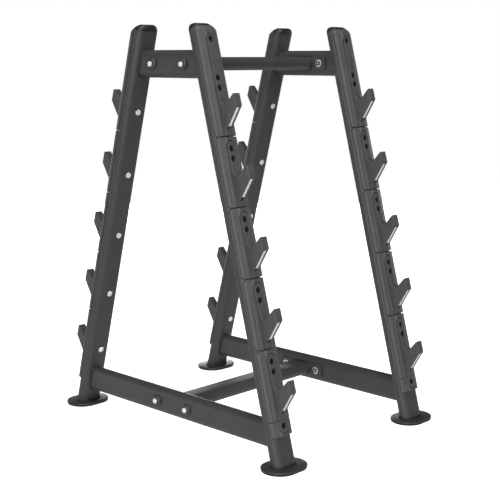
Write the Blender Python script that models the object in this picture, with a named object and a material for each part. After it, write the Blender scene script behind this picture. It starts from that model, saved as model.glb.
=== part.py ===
"""Free-standing, double-sided A-frame rack for ten fixed barbells.

Two identical A-frames stand one behind the other along Y and are joined by a top
and a bottom beam, bolted on by their end flanges. Each upright carries five moulded
hook covers and an end piece on its outer face. A steel strip with five blades runs
inside them and carries the bars. Nothing moves.

Frame: +X to the right-hand uprights, +Y from the front A-frame to the rear one,
+Z up. The origin is on the floor, in the middle of the four feet. Units: metres.

An upright's own frame has x outwards, y across and z up its axis. In the outlines
below, a point (n, s) is n outwards from the axis and s along it from floor level.
"""
import math

import bmesh
import bpy
from mathutils import Matrix

# ---- Overall layout
FOOT_SPREAD = 1.104        # between the two upright axes of one A-frame, at floor level
FRAME_SPACING = 0.742      # between the middle planes of the two A-frames
LEAN = math.radians(15.0)  # every upright leans inwards by this much
UPRIGHT_TOP = 1.561        # the tube's cut top, along its axis

# ---- Flat-oval steel tube, the same for uprights, crossbars and beams
TUBE_WIDTH = 0.100
TUBE_THICKNESS = 0.050
TUBE_WALL = 0.003
TUBE_ARC_STEPS = 6

# ---- Crossbars and beams
LOW_BAR_Z = 0.1125
TOP_BAR_Z = 1.385
FLANGE_WIDTH = 0.226
FLANGE_THICKNESS = 0.008
FLANGE_CORNER = 0.004
WELD_LAP = 0.002           # how far a beam is rooted in its flange
VENT_D = 0.008             # in each flange, so that the beam isn't sealed
BEAM_BOLT_OFFSET = 0.083   # from the middle of the crossbar to each bolt
BEAM_BOLT_D = 0.012
BEAM_HEAD_FLATS = 0.017
BEAM_HEAD_H = 0.005        # above its washer
CUP_BASE_D = 0.043         # domed washer under each beam bolt's head
CUP_FACE_D = 0.026
CUP_H = 0.011
BOLT_PAST_FLANGE = 0.018   # leaves room for a washer and a nut

# ---- Feet
FOOT_WIDTH = 0.134
FOOT_LENGTH = 0.180
FOOT_ARC_STEPS = 10
FOOT_PLATE_THICKNESS = 0.008
PAD_THICKNESS = 0.005
PAD_INSET = 0.002

# ---- Top cap
CAP_HEIGHT = 0.023
CAP_ROUNDING = 0.018
CAP_ROUNDING_STEPS = 4
CAP_PLUG_DEPTH = 0.020

# ---- Tiers of hooks
TIER_COUNT = 5
TIER_PITCH = 0.250         # along the upright's axis
TOP_TIP = 1.3065           # the top hook's tip
JOINT_ABOVE_TIP = 0.113    # a cover's upper joint, above its hook's tip
COVERS_SHORT = 0.008       # the top cover ends this far below the tube's cut top
COVERS_BOTTOM = 0.117
JOINT_GAP = 0.0015         # between neighbouring covers

# ---- Cover section: heights over the tube's outer face, insets from its two edges
RIB_HEIGHT = 0.015
RIB_INSET = 0.0003         # the finger is this much wider than the rib, on each side
RIB_CHAMFER = 0.0015
GROOVE_HEIGHT = 0.0075     # floor of the groove along both sides of the rib
GROOVE_FLOOR = 0.0020      # its width
GROOVE_BANK = 0.0020       # width of its sloping outer side
FLANK_HEIGHT = 0.010       # cover beside the groove
SHOULDER_HEIGHT = 0.005
SHOULDER_INSET = 0.009
CORNER_DROP = 0.001        # below the tube's outer face
CORNER_INSET = 0.0025
EDGE_DROP = 0.013          # the cover wraps the tube's round sides down to here
EDGE_WALL = 0.0016
COVER_FIT = 0.0004         # clearance between cover and tube

# ---- Hook finger
FINGER_WIDTH = 0.033
TIP_HEIGHT = 0.087         # the tip, over the tube's outer face
NOSE_FORWARD = 0.001       # the foot of the outer face, beyond the tip
NOSE_DROP = 0.046          # length of the outer face
TIP_BLUNT = 0.0015
SADDLE_LEDGE = 0.0008      # the saddle's liner stands this far out of the rib
SADDLE_RADIUS = 0.0200
SADDLE_SLOPE = math.radians(33.5)
SADDLE_STEPS = 6
UNDERSIDE_SLOPE = math.radians(44.0)
FINGER_ROOT = 0.006        # how deep the finger is rooted in the cover

# ---- Steel strip and its blades, inside the covers
STRIP_WIDTH = 0.026
STRIP_THICKNESS = 0.006
STRIP_PAST_SCREW = 0.014   # beyond the end screws
BLADE_THICKNESS = 0.013
BLADE_COVERING = 0.005     # plastic over the blade
BLADE_RECESS = 0.0012      # the blade's lower edge, behind the finger's underside
BLADE_SHORT = 0.006        # the blade stops this far before the end of its slot
SLOT_DROP = 0.112          # the slot's lower end, below the tip
STEEL_FIT = 0.0004         # clearance around the steel in the covers

# ---- Holes for the hook bolts and the cover screws
HOOK_BOLT_D = 0.010
HOOK_BOLT_DROP = 0.0515    # below the tip
HOOK_BOLT_BITE = 0.002     # how far its hole goes on behind the strip
SCREW_D = 0.005
SCREW_RISES = (0.0335, 0.0695)   # above the tip
END_SCREW_INSETS = (0.033, 0.039)   # bottom and top, from the ends of the covers
COUNTERBORE_D = 0.019
COUNTERBORE_DEPTH = 0.006
HOLE_PLAY = 0.0004         # added to the radius of a bolt or a screw

GAP = 0.0003               # between pieces that touch
OVERCUT = 0.010            # how far a cutter runs past what it cuts

SIDES = {"left": -1, "right": 1}
ENDS = {"front": -1, "rear": 1}
LEVELS = {"bottom": LOW_BAR_Z, "top": TOP_BAR_Z}

# colour, roughness and metallic value of each finish
FINISHES = {
    "powder_coat": ((0.062, 0.062, 0.060), 0.55, 0.3),
    "moulded_plastic": ((0.085, 0.085, 0.083), 0.60, 0.0),
    "cap_plastic": ((0.050, 0.050, 0.050), 0.45, 0.0),
    "rubber": ((0.020, 0.020, 0.020), 0.85, 0.0),
    "zinc_steel": ((0.620, 0.620, 0.610), 0.28, 1.0),
}

# ---- Places worked out from the sizes above
HALF_TUBE = TUBE_THICKNESS / 2.0
FLAT_HALF = TUBE_WIDTH / 2.0 - HALF_TUBE   # half of the tube's flat face
COVERS_TOP = UPRIGHT_TOP - COVERS_SHORT
LOW_SCREW = COVERS_BOTTOM + END_SCREW_INSETS[0]
TOP_SCREW = COVERS_TOP - END_SCREW_INSETS[1]
COVER_CROWN = HALF_TUBE + RIB_HEIGHT       # the rib's flat top
RIB_HALF = FINGER_WIDTH / 2.0 - RIB_INSET
FINGER_REACH = HALF_TUBE + TIP_HEIGHT
FINGER_NOSE = FINGER_REACH + NOSE_FORWARD
FOOT_TOP = PAD_THICKNESS + GAP + FOOT_PLATE_THICKNESS
TIPS = [TOP_TIP - TIER_PITCH * tier for tier in range(TIER_COUNT)]
STRIP_BACK = HALF_TUBE + GAP
STRIP_FRONT = STRIP_BACK + STRIP_THICKNESS
BLADE_FRONT = FINGER_REACH - BLADE_COVERING

# An (n, s) outline drawn in x and y, turned into the upright's own xz plane
IN_PLANE = Matrix(((1, 0, 0, 0), (0, 0, -1, 0), (0, 1, 0, 0), (0, 0, 0, 1)))


# ---------------------------------------------------------------- scene helpers
def clear_scene():
    for ob in list(bpy.data.objects):
        bpy.data.objects.remove(ob, do_unlink=True)


def new_collection(name):
    collection = bpy.data.collections.new(name)
    bpy.context.scene.collection.children.link(collection)
    return collection


def make_material(name):
    colour, roughness, metallic = FINISHES[name]
    mat = bpy.data.materials.new(name)
    mat.use_nodes = True
    shader = mat.node_tree.nodes["Principled BSDF"]
    shader.inputs["Base Color"].default_value = (*colour, 1.0)
    shader.inputs["Roughness"].default_value = roughness
    shader.inputs["Metallic"].default_value = metallic
    mat.diffuse_color = (*colour, 1.0)
    return mat


def place(name, mesh, finish, parent=None, location=(0.0, 0.0, 0.0)):
    """One named part that shows the given mesh."""
    ob = bpy.data.objects.new(name, mesh)
    PARTS.objects.link(ob)
    if not mesh.materials:
        mesh.materials.append(MATERIALS[finish])
    ob.parent = parent
    ob.location = location
    return ob


def scratch_object(data):
    ob = bpy.data.objects.new("scratch", data)
    CUTTERS.objects.link(ob)
    ob.hide_render = True
    ob.display_type = "WIRE"
    return ob


def evaluated_mesh(ob):
    bpy.context.view_layer.update()
    return bpy.data.meshes.new_from_object(ob.evaluated_get(bpy.context.evaluated_depsgraph_get()))


def combine(mesh, other_meshes, operation):
    """The mesh after an exact Boolean with each of the other meshes in turn."""
    base = scratch_object(mesh)
    others = [scratch_object(other) for other in other_meshes]
    for other in others:
        step = base.modifiers.new(operation.lower(), "BOOLEAN")
        step.operation = operation
        step.object = other
        step.solver = "EXACT"
    result = evaluated_mesh(base)
    for ob in [base, *others]:
        bpy.data.objects.remove(ob, do_unlink=True)
    return result


def union(mesh, other_meshes):
    return combine(mesh, other_meshes, "UNION")


def cut(mesh, cutter_meshes):
    return combine(mesh, cutter_meshes, "DIFFERENCE")


def finish_bmesh(bm, matrix):
    if matrix is not None:
        bmesh.ops.transform(bm, matrix=matrix, verts=bm.verts)
    bmesh.ops.recalc_face_normals(bm, faces=bm.faces)
    mesh = bpy.data.meshes.new("part")
    bm.to_mesh(mesh)
    bm.free()
    return mesh


def shade(mesh):
    """Round surfaces shade smoothly, and their edges stay crisp."""
    mesh.shade_smooth()
    mesh.set_sharp_from_angle(angle=math.radians(35.0))


# ---------------------------------------------------------------- shape helpers
def prism(outlines, depth, matrix=None):
    """A flat outline, with any holes, as a solid from z = 0 to z = depth."""
    curve = bpy.data.curves.new("outline", "CURVE")
    curve.dimensions = "2D"
    curve.fill_mode = "BOTH"
    curve.extrude = depth / 2.0
    for outline in outlines:
        spline = curve.splines.new("POLY")
        spline.points.add(len(outline) - 1)
        for point, (x, y) in zip(spline.points, outline):
            point.co = (x, y, 0.0, 1.0)
        spline.use_cyclic_u = True
    ob = scratch_object(curve)
    flat = evaluated_mesh(ob)
    bpy.data.objects.remove(ob, do_unlink=True)
    bm = bmesh.new()
    bm.from_mesh(flat)
    bmesh.ops.remove_doubles(bm, verts=bm.verts, dist=0.00001)
    bmesh.ops.translate(bm, verts=bm.verts, vec=(0.0, 0.0, depth / 2.0))
    return finish_bmesh(bm, matrix)


def plane_prism(outline, width):
    """An (n, s) outline as a solid of the given width, centred on y = 0."""
    return prism([outline], width, Matrix.Translation((0.0, width / 2.0, 0.0)) @ IN_PLANE)


def cone(base_radius, top_radius, depth, matrix=None, segments=12):
    """A closed cone or cylinder from z = 0 to z = depth."""
    bm = bmesh.new()
    bmesh.ops.create_cone(
        bm, cap_ends=True, segments=segments, radius1=base_radius, radius2=top_radius, depth=depth,
    )
    bmesh.ops.translate(bm, verts=bm.verts, vec=(0.0, 0.0, depth / 2.0))
    return finish_bmesh(bm, matrix)


def pin(radius, depth, matrix, segments=12):
    return cone(radius, radius, depth, matrix, segments)


def box(low, high):
    bm = bmesh.new()
    bmesh.ops.create_cube(bm, size=1.0)
    size = [b - a for a, b in zip(low, high)]
    centre = [(a + b) / 2.0 for a, b in zip(low, high)]
    bmesh.ops.scale(bm, verts=bm.verts, vec=size)
    bmesh.ops.translate(bm, verts=bm.verts, vec=centre)
    return finish_bmesh(bm, None)


def arc(centre, radius, start, end, steps):
    """Points on an arc, both ends included. Angles in radians."""
    points = []
    for i in range(steps + 1):
        angle = start + (end - start) * i / steps
        points.append((centre[0] + radius * math.cos(angle), centre[1] + radius * math.sin(angle)))
    return points


def flat_oval(thickness, width, steps):
    """Two half circles joined by straight sides: thickness along x, width along y."""
    radius = thickness / 2.0
    offset = width / 2.0 - radius
    upper = arc((0.0, offset), radius, 0.0, math.pi, steps)
    lower = arc((0.0, -offset), radius, math.pi, 2.0 * math.pi, steps)
    return upper + lower


def tube_outline(inset):
    return flat_oval(TUBE_THICKNESS - 2.0 * inset, TUBE_WIDTH - 2.0 * inset, TUBE_ARC_STEPS)


def tube(length, matrix=None):
    return prism([tube_outline(0.0), tube_outline(TUBE_WALL)], length, matrix)


def outwards(n, s):
    """Turns z outwards, starting at (n, s) in the upright's own frame."""
    return Matrix.Translation((n, 0.0, s)) @ Matrix.Rotation(math.pi / 2.0, 4, "Y")


# ---------------------------------------------------------------- uprights and caps
def make_axis(side, end):
    """An empty on the floor that carries one upright's own frame."""
    empty = bpy.data.objects.new(f"axis_{side}_{end}", None)
    PARTS.objects.link(empty)
    turn = Matrix.Rotation(0.0 if SIDES[side] > 0 else math.pi, 4, "Z")
    spot = (SIDES[side] * FOOT_SPREAD / 2.0, ENDS[end] * FRAME_SPACING / 2.0, 0.0)
    empty.matrix_world = Matrix.Translation(spot) @ turn @ Matrix.Rotation(-LEAN, 4, "Y")
    return empty


def make_upright_mesh():
    """The tube, with a level foot and a hole right through for each hook bolt."""
    mesh = tube(UPRIGHT_TOP)
    for vert in mesh.vertices:
        if vert.co.z < UPRIGHT_TOP / 2.0:
            vert.co.z = (FOOT_TOP + GAP - vert.co.x * math.sin(LEAN)) / math.cos(LEAN)
    radius = HOOK_BOLT_D / 2.0 + HOLE_PLAY
    length = TUBE_THICKNESS + 2.0 * OVERCUT
    start = -HALF_TUBE - OVERCUT
    return cut(mesh, [pin(radius, length, outwards(start, tip - HOOK_BOLT_DROP), 8) for tip in TIPS])


def make_cap_mesh():
    """A rounded dome flush with the tube, on a plug that goes down inside it."""
    bm = bmesh.new()
    bm.from_mesh(prism([tube_outline(0.0)], CAP_HEIGHT - GAP, Matrix.Translation((0.0, 0.0, GAP))))
    rim = [e for e in bm.edges if all(v.co.z > CAP_HEIGHT / 2.0 for v in e.verts) and e.is_manifold]
    rim = [e for e in rim if abs(e.link_faces[0].normal.z) + abs(e.link_faces[1].normal.z) < 1.5]
    bmesh.ops.bevel(
        bm, geom=rim, offset=CAP_ROUNDING, segments=CAP_ROUNDING_STEPS, profile=0.5, affect="EDGES",
    )
    dome = finish_bmesh(bm, None)
    plug_length = CAP_PLUG_DEPTH + CAP_HEIGHT / 2.0
    plug_at = Matrix.Translation((0.0, 0.0, -CAP_PLUG_DEPTH))
    plug = prism([tube_outline(TUBE_WALL + GAP)], plug_length, plug_at)
    return union(dome, [plug])


# ---------------------------------------------------------------- hook covers
def cover_section():
    """The cover's section as (n, y) points: the outer skin, then the side on the tube."""
    fit = HALF_TUBE + COVER_FIT
    edge_out = HALF_TUBE - EDGE_DROP
    edge = math.asin(edge_out / fit)
    groove_end = RIB_HALF + GROOVE_FLOOR
    skin = [
        (COVER_CROWN, RIB_HALF - RIB_CHAMFER),
        (COVER_CROWN - RIB_CHAMFER, RIB_HALF),
        (HALF_TUBE + GROOVE_HEIGHT, RIB_HALF),
        (HALF_TUBE + GROOVE_HEIGHT, groove_end),
        (HALF_TUBE + FLANK_HEIGHT, groove_end + GROOVE_BANK),
        (HALF_TUBE + SHOULDER_HEIGHT, TUBE_WIDTH / 2.0 - SHOULDER_INSET),
        (HALF_TUBE - CORNER_DROP, TUBE_WIDTH / 2.0 - CORNER_INSET),
        (edge_out, FLAT_HALF + fit * math.cos(edge) + EDGE_WALL),
    ]
    seat = [(n, y) for y, n in arc((FLAT_HALF, 0.0), fit, edge, math.pi / 2.0, 4)]
    half = skin + seat
    return half + [(n, -y) for n, y in reversed(half)]


def saddle_line(n, drop=0.0):
    """Height above the tip of the finger's inner edge, or of a line that far inside it."""
    return (n - FINGER_REACH) * math.tan(SADDLE_SLOPE) - drop / math.cos(SADDLE_SLOPE)


def underside_line(n, recess=0.0):
    """Height above the tip of the finger's underside, or of a line that far inside it."""
    slope = (FINGER_NOSE - n) * math.tan(UNDERSIDE_SLOPE)
    return -NOSE_DROP - slope + recess / math.cos(UNDERSIDE_SLOPE)


def underside_n(s):
    """Where the finger's underside is at height s above the tip."""
    return FINGER_NOSE + (s + NOSE_DROP) / math.tan(UNDERSIDE_SLOPE)


def saddle_centre():
    n = COVER_CROWN + SADDLE_LEDGE + SADDLE_RADIUS
    return n, saddle_line(n, -SADDLE_RADIUS)


def finger_outline(tip):
    """The finger, from its saddle round the tip and along the underside to its root."""
    centre = saddle_centre()
    root = COVER_CROWN - FINGER_ROOT
    outline = arc(centre, SADDLE_RADIUS, math.pi, 1.5 * math.pi + SADDLE_SLOPE, SADDLE_STEPS)
    outline += [
        (FINGER_REACH - TIP_BLUNT, saddle_line(FINGER_REACH - TIP_BLUNT)),
        (FINGER_REACH, -TIP_BLUNT),
        (FINGER_NOSE, -NOSE_DROP),
        (root, underside_line(root)),
        (root, centre[1]),
    ]
    return [(n, tip + s) for n, s in outline]


def blade_outline(tip, root, fit, front, recess, end):
    """A blade, or the slot for it: fit is added around it, recess sets its lower edge."""
    cover = BLADE_COVERING - fit
    top = saddle_centre()[1] - SADDLE_RADIUS - cover
    bend = FINGER_REACH + (top + cover / math.cos(SADDLE_SLOPE)) / math.tan(SADDLE_SLOPE)
    outline = [
        (root, top),
        (bend, top),
        (front, saddle_line(front, cover)),
        (front, underside_line(front, recess)),
        (underside_n(end), end + recess / math.cos(UNDERSIDE_SLOPE)),
        (root, end + recess / math.cos(UNDERSIDE_SLOPE)),
    ]
    return [(n, tip + s) for n, s in outline]


def strip_ends():
    return LOW_SCREW - STRIP_PAST_SCREW, TOP_SCREW + STRIP_PAST_SCREW


def screws_of(tip):
    """The screws of one tier's cover, along the axis."""
    places = [tip + rise for rise in SCREW_RISES]
    if tip == TIPS[0]:
        places.append(TOP_SCREW)
    return places


def lower_joint(tip):
    return tip + JOINT_ABOVE_TIP - TIER_PITCH


def cover_body(low, high):
    return prism([cover_section()], high - low, Matrix.Translation((0.0, 0.0, low)))


def cover_cutters(low, high, screws):
    """The channel for the steel strip, and each screw's hole and counterbore."""
    strip_low, strip_high = strip_ends()
    channel_half = STRIP_WIDTH / 2.0 + STEEL_FIT
    channel = box(
        (HALF_TUBE - OVERCUT, -channel_half, max(low - OVERCUT, strip_low - STEEL_FIT)),
        (STRIP_FRONT + STEEL_FIT, channel_half, min(high + OVERCUT, strip_high + STEEL_FIT)),
    )
    cutters = [channel]
    bore_floor = COVER_CROWN - COUNTERBORE_DEPTH
    for s in screws:
        hole_length = bore_floor + COUNTERBORE_DEPTH / 2.0
        cutters.append(pin(SCREW_D / 2.0 + HOLE_PLAY, hole_length, outwards(0.0, s), 8))
        cutters.append(pin(COUNTERBORE_D / 2.0, COUNTERBORE_DEPTH + OVERCUT, outwards(bore_floor, s), 12))
    return cutters


def make_cover_mesh(tip):
    """A moulded cover with its finger, cut out for the steel inside it and for its screws."""
    low = lower_joint(tip) + JOINT_GAP / 2.0
    high = COVERS_TOP if tip == TIPS[0] else tip + JOINT_ABOVE_TIP - JOINT_GAP / 2.0
    solid = union(cover_body(low, high), [plane_prism(finger_outline(tip), FINGER_WIDTH)])
    slot_outline = blade_outline(
        tip, HALF_TUBE - OVERCUT, STEEL_FIT, BLADE_FRONT + STEEL_FIT, -OVERCUT / 2.0, -SLOT_DROP,
    )
    slot = plane_prism(slot_outline, BLADE_THICKNESS + 2.0 * STEEL_FIT)
    return cut(solid, [slot, *cover_cutters(low, high, screws_of(tip))])


def make_end_piece_mesh():
    """The short piece that closes the covers at the bottom."""
    high = lower_joint(TIPS[-1]) - JOINT_GAP / 2.0
    return cut(cover_body(COVERS_BOTTOM, high), cover_cutters(COVERS_BOTTOM, high, [LOW_SCREW]))


# ---------------------------------------------------------------- steel inside the covers
def make_strip_mesh():
    """The strip and its five blades, one weldment, with its bolt and screw holes."""
    low, high = strip_ends()
    strip = box((STRIP_BACK, -STRIP_WIDTH / 2.0, low), (STRIP_FRONT, STRIP_WIDTH / 2.0, high))
    blades = []
    for tip in TIPS:
        outline = blade_outline(
            tip, STRIP_BACK + GAP, 0.0, BLADE_FRONT, BLADE_RECESS, BLADE_SHORT - SLOT_DROP,
        )
        blades.append(plane_prism(outline, BLADE_THICKNESS))
    holes = []
    screws = [LOW_SCREW]
    for tip in TIPS:
        bolt_hole = outwards(0.0, tip - HOOK_BOLT_DROP)
        holes.append(pin(HOOK_BOLT_D / 2.0 + HOLE_PLAY, STRIP_FRONT + HOOK_BOLT_BITE, bolt_hole, 8))
        screws += screws_of(tip)
    holes += [pin(SCREW_D / 2.0 + HOLE_PLAY, COVER_CROWN, outwards(0.0, s), 8) for s in screws]
    return cut(union(strip, blades), holes)


# ---------------------------------------------------------------- crossbars and beams
def inner_face_x(z):
    """Where a right-hand upright's inner face is, at height z."""
    return FOOT_SPREAD / 2.0 - z * math.tan(LEAN) - HALF_TUBE / math.cos(LEAN)


def pin_along_y(radius, x, start, length):
    matrix = Matrix.Translation((x, start, 0.0)) @ Matrix.Rotation(-math.pi / 2.0, 4, "X")
    return pin(radius, length, matrix)


def beam_bolt_cutters(start, length):
    """Two cutters along y for the beam bolts, from y = start."""
    radius = BEAM_BOLT_D / 2.0 + HOLE_PLAY
    return [pin_along_y(radius, x, start, length) for x in (-BEAM_BOLT_OFFSET, BEAM_BOLT_OFFSET)]


def make_crossbar_mesh(z):
    """A tube along x, its origin in its middle, its ends cut to sit on the leaning uprights."""
    length = 2.0 * inner_face_x(z)
    lay = Matrix(((0, 0, 1, 0), (1, 0, 0, 0), (0, 1, 0, 0), (0, 0, 0, 1)))
    mesh = tube(length, Matrix.Translation((-length / 2.0, 0.0, 0.0)) @ lay)
    for vert in mesh.vertices:
        reach = inner_face_x(z + vert.co.z) - GAP / math.cos(LEAN)
        vert.co.x = math.copysign(reach, vert.co.x)
    return cut(mesh, beam_bolt_cutters(-HALF_TUBE - OVERCUT, TUBE_THICKNESS + 2.0 * OVERCUT))


def make_flange_mesh(start):
    """A beam's end plate, from y = start to its thickness."""
    corner_x = FLANGE_WIDTH / 2.0 - FLANGE_CORNER
    corner_z = FLAT_HALF - FLANGE_CORNER
    outline = []
    for quarter, (x_sign, z_sign) in enumerate(((1, 1), (-1, 1), (-1, -1), (1, -1))):
        turn = quarter * math.pi / 2.0
        centre = (x_sign * corner_x, z_sign * corner_z)
        outline += arc(centre, FLANGE_CORNER, turn, turn + math.pi / 2.0, 2)
    front = Matrix.Translation((0.0, start + FLANGE_THICKNESS, 0.0))
    plate = prism([outline], FLANGE_THICKNESS, front @ Matrix.Rotation(math.pi / 2.0, 4, "X"))
    return cut(plate, beam_bolt_cutters(start - OVERCUT, FLANGE_THICKNESS + 2.0 * OVERCUT))


def make_beam_mesh():
    """A tube along y, lying flat, with a flange on each end. Its origin is in its middle."""
    reach = FRAME_SPACING / 2.0 - HALF_TUBE - GAP
    length = 2.0 * (reach - FLANGE_THICKNESS + WELD_LAP)
    lay = Matrix(((0, 1, 0, 0), (0, 0, 1, 0), (1, 0, 0, 0), (0, 0, 0, 1)))
    body = tube(length, Matrix.Translation((0.0, -length / 2.0, 0.0)) @ lay)
    beam = union(body, [make_flange_mesh(-reach), make_flange_mesh(reach - FLANGE_THICKNESS)])
    vent = pin_along_y(VENT_D / 2.0, 0.0, -reach - OVERCUT, 2.0 * (reach + OVERCUT))
    return cut(beam, [vent])


def make_beam_bolt_mesh():
    """A bolt with its captive domed washer. z runs out from the crossbar's outer face."""
    inner_end = -TUBE_THICKNESS - GAP - FLANGE_THICKNESS - BOLT_PAST_FLANGE
    cup = cone(CUP_BASE_D / 2.0, CUP_FACE_D / 2.0, CUP_H, Matrix.Translation((0.0, 0.0, GAP)), 20)
    sunk = CUP_H / 2.0
    corners = BEAM_HEAD_FLATS / 2.0 / math.cos(math.pi / 6.0)
    head_at = Matrix.Translation((0.0, 0.0, sunk))
    head = cone(corners, corners, CUP_H - sunk + BEAM_HEAD_H, head_at, 6)
    shank_at = Matrix.Translation((0.0, 0.0, inner_end))
    shank = cone(BEAM_BOLT_D / 2.0, BEAM_BOLT_D / 2.0, CUP_H - inner_end - sunk, shank_at)
    return union(cup, [head, shank])


def make_frame_links():
    beam = make_beam_mesh()
    bolt = make_beam_bolt_mesh()
    for mesh in (beam, bolt):
        shade(mesh)
    for level, z in LEVELS.items():
        crossbar = make_crossbar_mesh(z)
        shade(crossbar)
        place(f"beam_{level}", beam, "powder_coat", location=(0.0, 0.0, z))
        for end, sign in ENDS.items():
            middle = sign * FRAME_SPACING / 2.0
            place(f"crossbar_{level}_{end}", crossbar, "powder_coat", location=(0.0, middle, z))
            for side, across in SIDES.items():
                spot = (across * BEAM_BOLT_OFFSET, middle + sign * HALF_TUBE, z)
                screw = place(f"beam_bolt_{level}_{end}_{side}", bolt, "zinc_steel", location=spot)
                screw.rotation_euler.x = -sign * math.pi / 2.0


# ---------------------------------------------------------------- feet
def make_feet():
    plate = prism([flat_oval(FOOT_WIDTH, FOOT_LENGTH, FOOT_ARC_STEPS)], FOOT_PLATE_THICKNESS)
    pad_width = FOOT_WIDTH - 2.0 * PAD_INSET
    pad_length = FOOT_LENGTH - 2.0 * PAD_INSET
    pad = prism([flat_oval(pad_width, pad_length, FOOT_ARC_STEPS)], PAD_THICKNESS)
    for mesh in (plate, pad):
        shade(mesh)
    for side, across in SIDES.items():
        for end, along in ENDS.items():
            x = across * FOOT_SPREAD / 2.0
            y = along * FRAME_SPACING / 2.0
            place(f"foot_pad_{side}_{end}", pad, "rubber", location=(x, y, 0.0))
            place(f"foot_plate_{side}_{end}", plate, "powder_coat", location=(x, y, PAD_THICKNESS + GAP))


# ---------------------------------------------------------------- assembly
def make_uprights():
    upright = make_upright_mesh()
    cap = make_cap_mesh()
    strip = make_strip_mesh()
    end_piece = make_end_piece_mesh()
    covers = [make_cover_mesh(tip) for tip in TIPS]
    for mesh in [upright, cap, strip, end_piece, *covers]:
        shade(mesh)
    for side in SIDES:
        for end in ENDS:
            axis = make_axis(side, end)
            place(f"upright_{side}_{end}", upright, "powder_coat", axis)
            place(f"top_cap_{side}_{end}", cap, "cap_plastic", axis, (0.0, 0.0, UPRIGHT_TOP))
            place(f"hook_strip_{side}_{end}", strip, "zinc_steel", axis)
            place(f"cover_end_{side}_{end}", end_piece, "moulded_plastic", axis)
            for tier, cover in enumerate(covers, start=1):
                place(f"hook_cover_{side}_{end}_{tier}", cover, "moulded_plastic", axis)


clear_scene()
PARTS = new_collection("barbell_rack")
CUTTERS = new_collection("cutters")
MATERIALS = {name: make_material(name) for name in FINISHES}
make_uprights()
make_frame_links()
make_feet()
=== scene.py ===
import math

import bmesh
import bpy
from mathutils import Matrix, Vector


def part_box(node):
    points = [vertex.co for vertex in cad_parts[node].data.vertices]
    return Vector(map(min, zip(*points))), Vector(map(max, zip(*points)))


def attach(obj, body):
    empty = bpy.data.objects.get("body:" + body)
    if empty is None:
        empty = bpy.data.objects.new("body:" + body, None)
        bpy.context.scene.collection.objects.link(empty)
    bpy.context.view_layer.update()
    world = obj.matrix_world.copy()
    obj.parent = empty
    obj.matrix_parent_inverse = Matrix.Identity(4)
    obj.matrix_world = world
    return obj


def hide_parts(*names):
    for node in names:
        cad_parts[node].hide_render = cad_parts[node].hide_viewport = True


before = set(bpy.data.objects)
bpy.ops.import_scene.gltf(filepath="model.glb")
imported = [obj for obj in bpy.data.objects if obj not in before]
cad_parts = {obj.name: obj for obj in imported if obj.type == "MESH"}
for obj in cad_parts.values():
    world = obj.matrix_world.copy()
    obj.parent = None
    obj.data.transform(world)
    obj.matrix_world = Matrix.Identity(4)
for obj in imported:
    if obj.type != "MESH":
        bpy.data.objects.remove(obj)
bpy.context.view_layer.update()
print("stage 1: frame loaded with", len(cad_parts), "nodes")

mm = 0.001

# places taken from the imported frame
footLow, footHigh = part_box("foot_plate_right_front")
layout = {
    "footX": (footLow[0] + footHigh[0]) / 2,  # upright axis at floor level
    "frameY": -(footLow[1] + footHigh[1]) / 2,  # each A-frame's middle plane
    "plateTop": footHigh[2],
    "plateBottom": footLow[2],
    "lean": math.radians(15),
    "gap": 0.3 * mm,
}
sides = {"left": -1, "right": 1}
ends = {"front": -1, "rear": 1}
levels = {}
for levelName in ("bottom", "top"):
    low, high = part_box(f"crossbar_{levelName}_front")
    levels[levelName] = (low[2] + high[2]) / 2

tubeSizes = {
    "width": 100 * mm,
    "thickness": 50 * mm,
    "wall": 3 * mm,
    "arcSteps": 18,
}

parts = bpy.data.collections.new("barbellRack")
bpy.context.scene.collection.children.link(parts)


def toLinear(hexColour, alpha=1.0):
    channels = [int(hexColour[i:i + 2], 16) / 255 for i in (1, 3, 5)]
    linear = [c / 12.92 if c <= 0.04045 else ((c + 0.055) / 1.055) ** 2.4 for c in channels]
    return (*linear, alpha)


# one node with its settings and its links: an input is a value or an (other node, output) pair,
# named with _ for a space, or i0, i1... by its number
def addNode(material, kind, settings=None, **inputs):
    tree = material.node_tree
    node = tree.nodes.new(kind)
    for key, value in (settings or {}).items():
        if key == "ramp":
            ramp = node.color_ramp
            for element, (position, colour) in zip(ramp.elements, value):
                element.position = position
                element.color = toLinear(colour)
        else:
            setattr(node, key, value)
    for key, value in inputs.items():
        byNumber = key[0] == "i" and key[1:].isdigit()
        socket = node.inputs[int(key[1:]) if byNumber else key.replace("_", " ")]
        if isinstance(value, tuple) and len(value) == 2 and hasattr(value[0], "outputs"):
            tree.links.new(value[0].outputs[value[1]], socket)
        else:
            socket.default_value = value
    return node


def newMaterial(name):
    material = bpy.data.materials.new(name)
    material.use_nodes = True
    material.node_tree.nodes.clear()
    return material


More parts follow.
